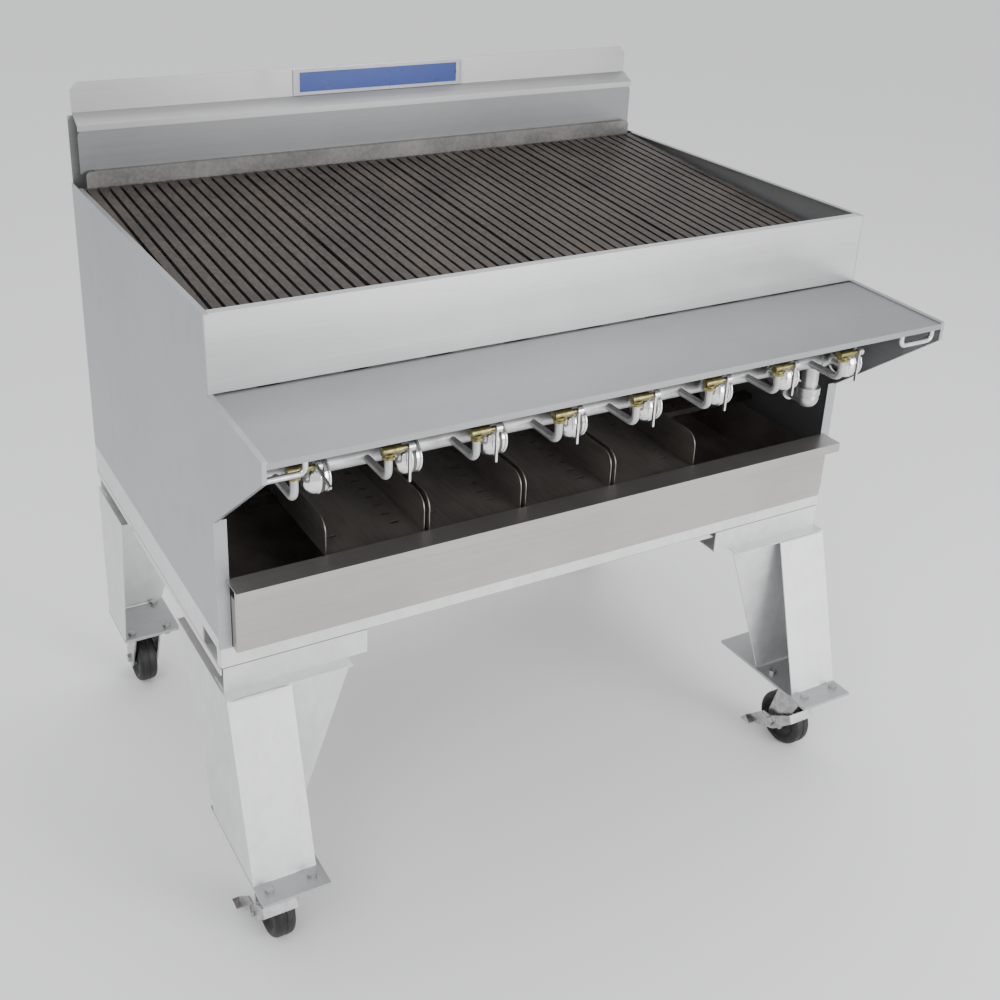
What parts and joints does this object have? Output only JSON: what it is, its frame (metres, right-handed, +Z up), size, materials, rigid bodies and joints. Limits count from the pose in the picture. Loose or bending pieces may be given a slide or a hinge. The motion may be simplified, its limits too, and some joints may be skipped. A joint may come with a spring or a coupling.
{
  "type": "gas charbroiler",
  "caption": "Floor-standing gas charbroiler with sloping bar grates, front work shelf, valve levers, pull-out drip tray, stepped back and four swivel casters.",
  "frame": {"origin": "floor level, under the middle of the overall box", "axes": "+Z up, +X to the cook's right, the cook stands at -Y"},
  "size_m": [1.118, 0.907, 1.165],
  "materials": {
    "brushed_stainless": "brushed",
    "formed_steel": "mill finish",
    "dark_steel": "heat-darkened",
    "plate": "satin",
    "zinc": "zinc plated",
    "wheel_rubber": "matt",
    "cast_burner": "cast",
    "silver_paint": "satin",
    "malleable_iron": "cast",
    "valve_brass": "machined",
    "lever_steel": "stamped",
    "seared_steel": "burnt",
    "grate_iron": "cast"
  },
  "bodies": {
    "cabinet": {"left_side_panel": "brushed_stainless", "right_side_panel": "brushed_stainless", "front_apron": "brushed_stainless", "front_shelf": "brushed_stainless", "backsplash": "brushed_stainless", "rear_panel": "formed_steel", "front_rail": "formed_steel", "rear_rail": "formed_steel", "side_rails": "formed_steel", "leg_channels": "formed_steel", "leg_front_left": "formed_steel", "leg_front_right": "formed_steel", "leg_rear_left": "formed_steel", "leg_rear_right": "formed_steel", "foot_plates": "formed_steel", "rear_ledge": "dark_steel", "flue_panel": "dark_steel", "cross_rails": "dark_steel", "pan_rails": "dark_steel", "nameplate": "plate", "deck_hooks": "zinc", "caster_plates": "zinc", "caster_bolts": "zinc", "radiants": "dark_steel", "burners": "cast_burner", "manifold_pipe": "silver_paint", "riser_tubes": "silver_paint", "inlet_elbow": "malleable_iron", "valve_bodies": "valve_brass", "deflector_pan_1": "seared_steel", "deflector_pan_2": "seared_steel", "deflector_pan_3": "seared_steel", "deflector_pan_4": "seared_steel"},
    "fork_front_left": {"caster_fork_front_left": "zinc", "caster_axle_front_left": "zinc"},
    "wheel_front_left": {"caster_wheel_front_left": "wheel_rubber"},
    "fork_rear_left": {"caster_fork_rear_left": "zinc", "caster_axle_rear_left": "zinc"},
    "wheel_rear_left": {"caster_wheel_rear_left": "wheel_rubber"},
    "fork_front_right": {"caster_fork_front_right": "zinc", "caster_axle_front_right": "zinc"},
    "wheel_front_right": {"caster_wheel_front_right": "wheel_rubber"},
    "fork_rear_right": {"caster_fork_rear_right": "zinc", "caster_axle_rear_right": "zinc"},
    "wheel_rear_right": {"caster_wheel_rear_right": "wheel_rubber"},
    "pedal_left": {"brake_pedal_left": "zinc"},
    "pedal_right": {"brake_pedal_right": "zinc"},
    "lever_1": {"valve_lever_1": "lever_steel"},
    "lever_2": {"valve_lever_2": "lever_steel"},
    "lever_3": {"valve_lever_3": "lever_steel"},
    "lever_4": {"valve_lever_4": "lever_steel"},
    "lever_5": {"valve_lever_5": "lever_steel"},
    "lever_6": {"valve_lever_6": "lever_steel"},
    "lever_7": {"valve_lever_7": "lever_steel"},
    "lever_8": {"valve_lever_8": "lever_steel"},
    "tray": {"drip_tray": "brushed_stainless"},
    "grate_body_1": {"grate_1": "grate_iron"},
    "grate_body_2": {"grate_2": "grate_iron"},
    "grate_body_3": {"grate_3": "grate_iron"},
    "grate_body_4": {"grate_4": "grate_iron"}
  },
  "joints": [
    {"name": "swivel_front_left", "type": "hinge", "parent": "cabinet", "child": "fork_front_left", "pos_m": [-0.508, -0.335, 0.13], "axis": [0, 0, 1], "continuous": true},
    {"name": "spin_front_left", "type": "hinge", "parent": "fork_front_left", "child": "wheel_front_left", "pos_m": [-0.508, -0.307, 0.05], "axis": [1, 0, 0], "continuous": true},
    {"name": "swivel_rear_left", "type": "hinge", "parent": "cabinet", "child": "fork_rear_left", "pos_m": [-0.508, 0.3755, 0.13], "axis": [0, 0, 1], "continuous": true},
    {"name": "spin_rear_left", "type": "hinge", "parent": "fork_rear_left", "child": "wheel_rear_left", "pos_m": [-0.508, 0.4035, 0.05], "axis": [1, 0, 0], "continuous": true},
    {"name": "swivel_front_right", "type": "hinge", "parent": "cabinet", "child": "fork_front_right", "pos_m": [0.508, -0.335, 0.13], "axis": [0, 0, 1], "continuous": true},
    {"name": "spin_front_right", "type": "hinge", "parent": "fork_front_right", "child": "wheel_front_right", "pos_m": [0.508, -0.307, 0.05], "axis": [1, 0, 0], "continuous": true},
    {"name": "swivel_rear_right", "type": "hinge", "parent": "cabinet", "child": "fork_rear_right", "pos_m": [0.508, 0.3755, 0.13], "axis": [0, 0, 1], "continuous": true},
    {"name": "spin_rear_right", "type": "hinge", "parent": "fork_rear_right", "child": "wheel_rear_right", "pos_m": [0.508, 0.4035, 0.05], "axis": [1, 0, 0], "continuous": true},
    {"name": "brake_left", "type": "hinge", "parent": "fork_front_left", "child": "pedal_left", "pos_m": [-0.542, -0.307, 0.05], "axis": [1, 0, 0], "range_deg": [0, 25]},
    {"name": "brake_right", "type": "hinge", "parent": "fork_front_right", "child": "pedal_right", "pos_m": [0.474, -0.307, 0.05], "axis": [1, 0, 0], "range_deg": [0, 25]},
    {"name": "valve_turn_1", "type": "hinge", "parent": "cabinet", "child": "lever_1", "pos_m": [-0.45122, -0.3635, 0.814], "axis": [1, 0, 0], "range_deg": [-14, 76]},
    {"name": "valve_turn_2", "type": "hinge", "parent": "cabinet", "child": "lever_2", "pos_m": [-0.31788, -0.3635, 0.814], "axis": [1, 0, 0], "range_deg": [-90, 0]},
    {"name": "valve_turn_3", "type": "hinge", "parent": "cabinet", "child": "lever_3", "pos_m": [-0.18452, -0.3635, 0.814], "axis": [1, 0, 0], "range_deg": [-90, 0]},
    {"name": "valve_turn_4", "type": "hinge", "parent": "cabinet", "child": "lever_4", "pos_m": [-0.05117, -0.3635, 0.814], "axis": [1, 0, 0], "range_deg": [-90, 0]},
    {"name": "valve_turn_5", "type": "hinge", "parent": "cabinet", "child": "lever_5", "pos_m": [0.08217, -0.3635, 0.814], "axis": [1, 0, 0], "range_deg": [-90, 0]},
    {"name": "valve_turn_6", "type": "hinge", "parent": "cabinet", "child": "lever_6", "pos_m": [0.21552, -0.3635, 0.814], "axis": [1, 0, 0], "range_deg": [-90, 0]},
    {"name": "valve_turn_7", "type": "hinge", "parent": "cabinet", "child": "lever_7", "pos_m": [0.34887, -0.3635, 0.814], "axis": [1, 0, 0], "range_deg": [-90, 0]},
    {"name": "valve_turn_8", "type": "hinge", "parent": "cabinet", "child": "lever_8", "pos_m": [0.48223, -0.3635, 0.814], "axis": [1, 0, 0], "range_deg": [-90, 0]},
    {"name": "tray_slide", "type": "slide", "parent": "cabinet", "child": "tray", "axis": [0, -1, 0], "range_m": [0, 0.45]},
    {"name": "grate_lift_1", "type": "slide", "parent": "cabinet", "child": "grate_body_1", "axis": [0, 0, 1], "range_m": [0, 0.12]},
    {"name": "grate_lift_2", "type": "slide", "parent": "cabinet", "child": "grate_body_2", "axis": [0, 0, 1], "range_m": [0, 0.12]},
    {"name": "grate_lift_3", "type": "slide", "parent": "cabinet", "child": "grate_body_3", "axis": [0, 0, 1], "range_m": [0, 0.12]},
    {"name": "grate_lift_4", "type": "slide", "parent": "cabinet", "child": "grate_body_4", "axis": [0, 0, 1], "range_m": [0, 0.12]}
  ]
}
